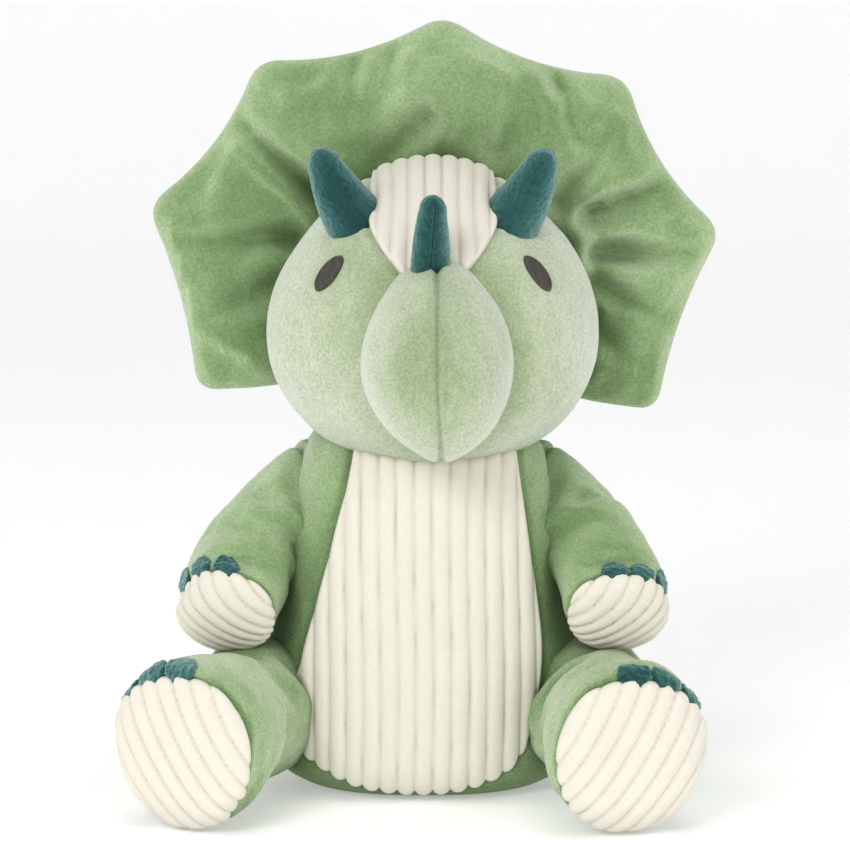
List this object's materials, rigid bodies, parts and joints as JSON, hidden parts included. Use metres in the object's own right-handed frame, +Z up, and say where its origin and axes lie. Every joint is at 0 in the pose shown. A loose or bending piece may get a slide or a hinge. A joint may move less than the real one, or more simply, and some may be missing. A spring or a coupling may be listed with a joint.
{
  "type": "stuffed toy dinosaur",
  "caption": "Sitting plush dinosaur with a padded neck frill, soft horns, ribbed belly and ribbed paws.",
  "frame": {"origin": "middle of the flat seat, on the surface that the toy sits on", "axes": "+Z up, the toy faces -Y, its own left side is +X"},
  "size_m": [0.2236, 0.2142, 0.2986],
  "materials": {
    "sage_plush": "short velvety pile, sage green",
    "mint_plush": "short velvety pile, pale mint",
    "cream_cord": "wide-wale corduroy, cream",
    "teal_plush": "fuzzy pile, teal",
    "eye_thread": "satin-stitch embroidery, dark brown",
    "fibre_fill": "loose polyester fibre",
    "pellet_fill": "woven bag of plastic pellets",
    "label_cloth": "smooth woven ribbon, blank"
  },
  "bodies": {
    "torso": {"body_left_panel": "sage_plush", "body_right_panel": "sage_plush", "belly_panel": "cream_cord", "body_stuffing": "fibre_fill", "pellet_bag": "pellet_fill", "care_label": "label_cloth"},
    "neck": {"neck_stuffing": "fibre_fill"},
    "head": {"head_back_panel": "sage_plush", "frill_front": "sage_plush", "frill_back": "sage_plush", "face_left_panel": "mint_plush", "face_right_panel": "mint_plush", "snout_left_panel": "mint_plush", "snout_right_panel": "mint_plush", "forehead_panel": "cream_cord", "nose_horn": "teal_plush", "brow_horn_left": "teal_plush", "brow_horn_right": "teal_plush", "eye_left": "eye_thread", "eye_right": "eye_thread", "head_stuffing": "fibre_fill", "snout_stuffing": "fibre_fill", "frill_wadding": "fibre_fill", "nose_horn_stuffing": "fibre_fill", "brow_horn_left_stuffing": "fibre_fill", "brow_horn_right_stuffing": "fibre_fill"},
    "arm_left": {"arm_left_cover": "sage_plush", "arm_left_pad": "cream_cord", "arm_left_claws": "teal_plush", "arm_left_stuffing": "fibre_fill"},
    "arm_right": {"arm_right_cover": "sage_plush", "arm_right_pad": "cream_cord", "arm_right_claws": "teal_plush", "arm_right_stuffing": "fibre_fill"},
    "leg_left": {"leg_left_cover": "sage_plush", "leg_left_sole": "cream_cord", "leg_left_claws": "teal_plush", "leg_left_stuffing": "fibre_fill"},
    "leg_right": {"leg_right_cover": "sage_plush", "leg_right_sole": "cream_cord", "leg_right_claws": "teal_plush", "leg_right_stuffing": "fibre_fill"},
    "tail": {"tail_cover": "sage_plush", "tail_stuffing": "fibre_fill"}
  },
  "joints": [
    {"name": "head_turn", "type": "hinge", "parent": "torso", "child": "neck", "pos_m": [0.0035, -0.01, 0.14], "axis": [0, 0, 1], "range_deg": [-15, 15]},
    {"name": "head_nod", "type": "hinge", "parent": "neck", "child": "head", "pos_m": [0.0035, -0.01, 0.188], "axis": [-1, 0, 0], "range_deg": [-4, 10]},
    {"name": "arm_left_swing", "type": "hinge", "parent": "torso", "child": "arm_left", "pos_m": [0.056, -0.002, 0.116], "axis": [-1, 0, 0], "range_deg": [-2, 60]},
    {"name": "arm_right_swing", "type": "hinge", "parent": "torso", "child": "arm_right", "pos_m": [-0.056, -0.002, 0.116], "axis": [-1, 0, 0], "range_deg": [-2, 60]},
    {"name": "leg_left_swing", "type": "hinge", "parent": "torso", "child": "leg_left", "pos_m": [0.045, -0.022, 0.032], "axis": [-1, 0, 0], "range_deg": [-20, 1]},
    {"name": "leg_right_swing", "type": "hinge", "parent": "torso", "child": "leg_right", "pos_m": [-0.045, -0.022, 0.032], "axis": [-1, 0, 0], "range_deg": [-20, 1]},
    {"name": "tail_wag", "type": "hinge", "parent": "torso", "child": "tail", "pos_m": [0, 0.058, 0.024], "axis": [0, 0, 1], "range_deg": [-20, 20]}
  ]
}
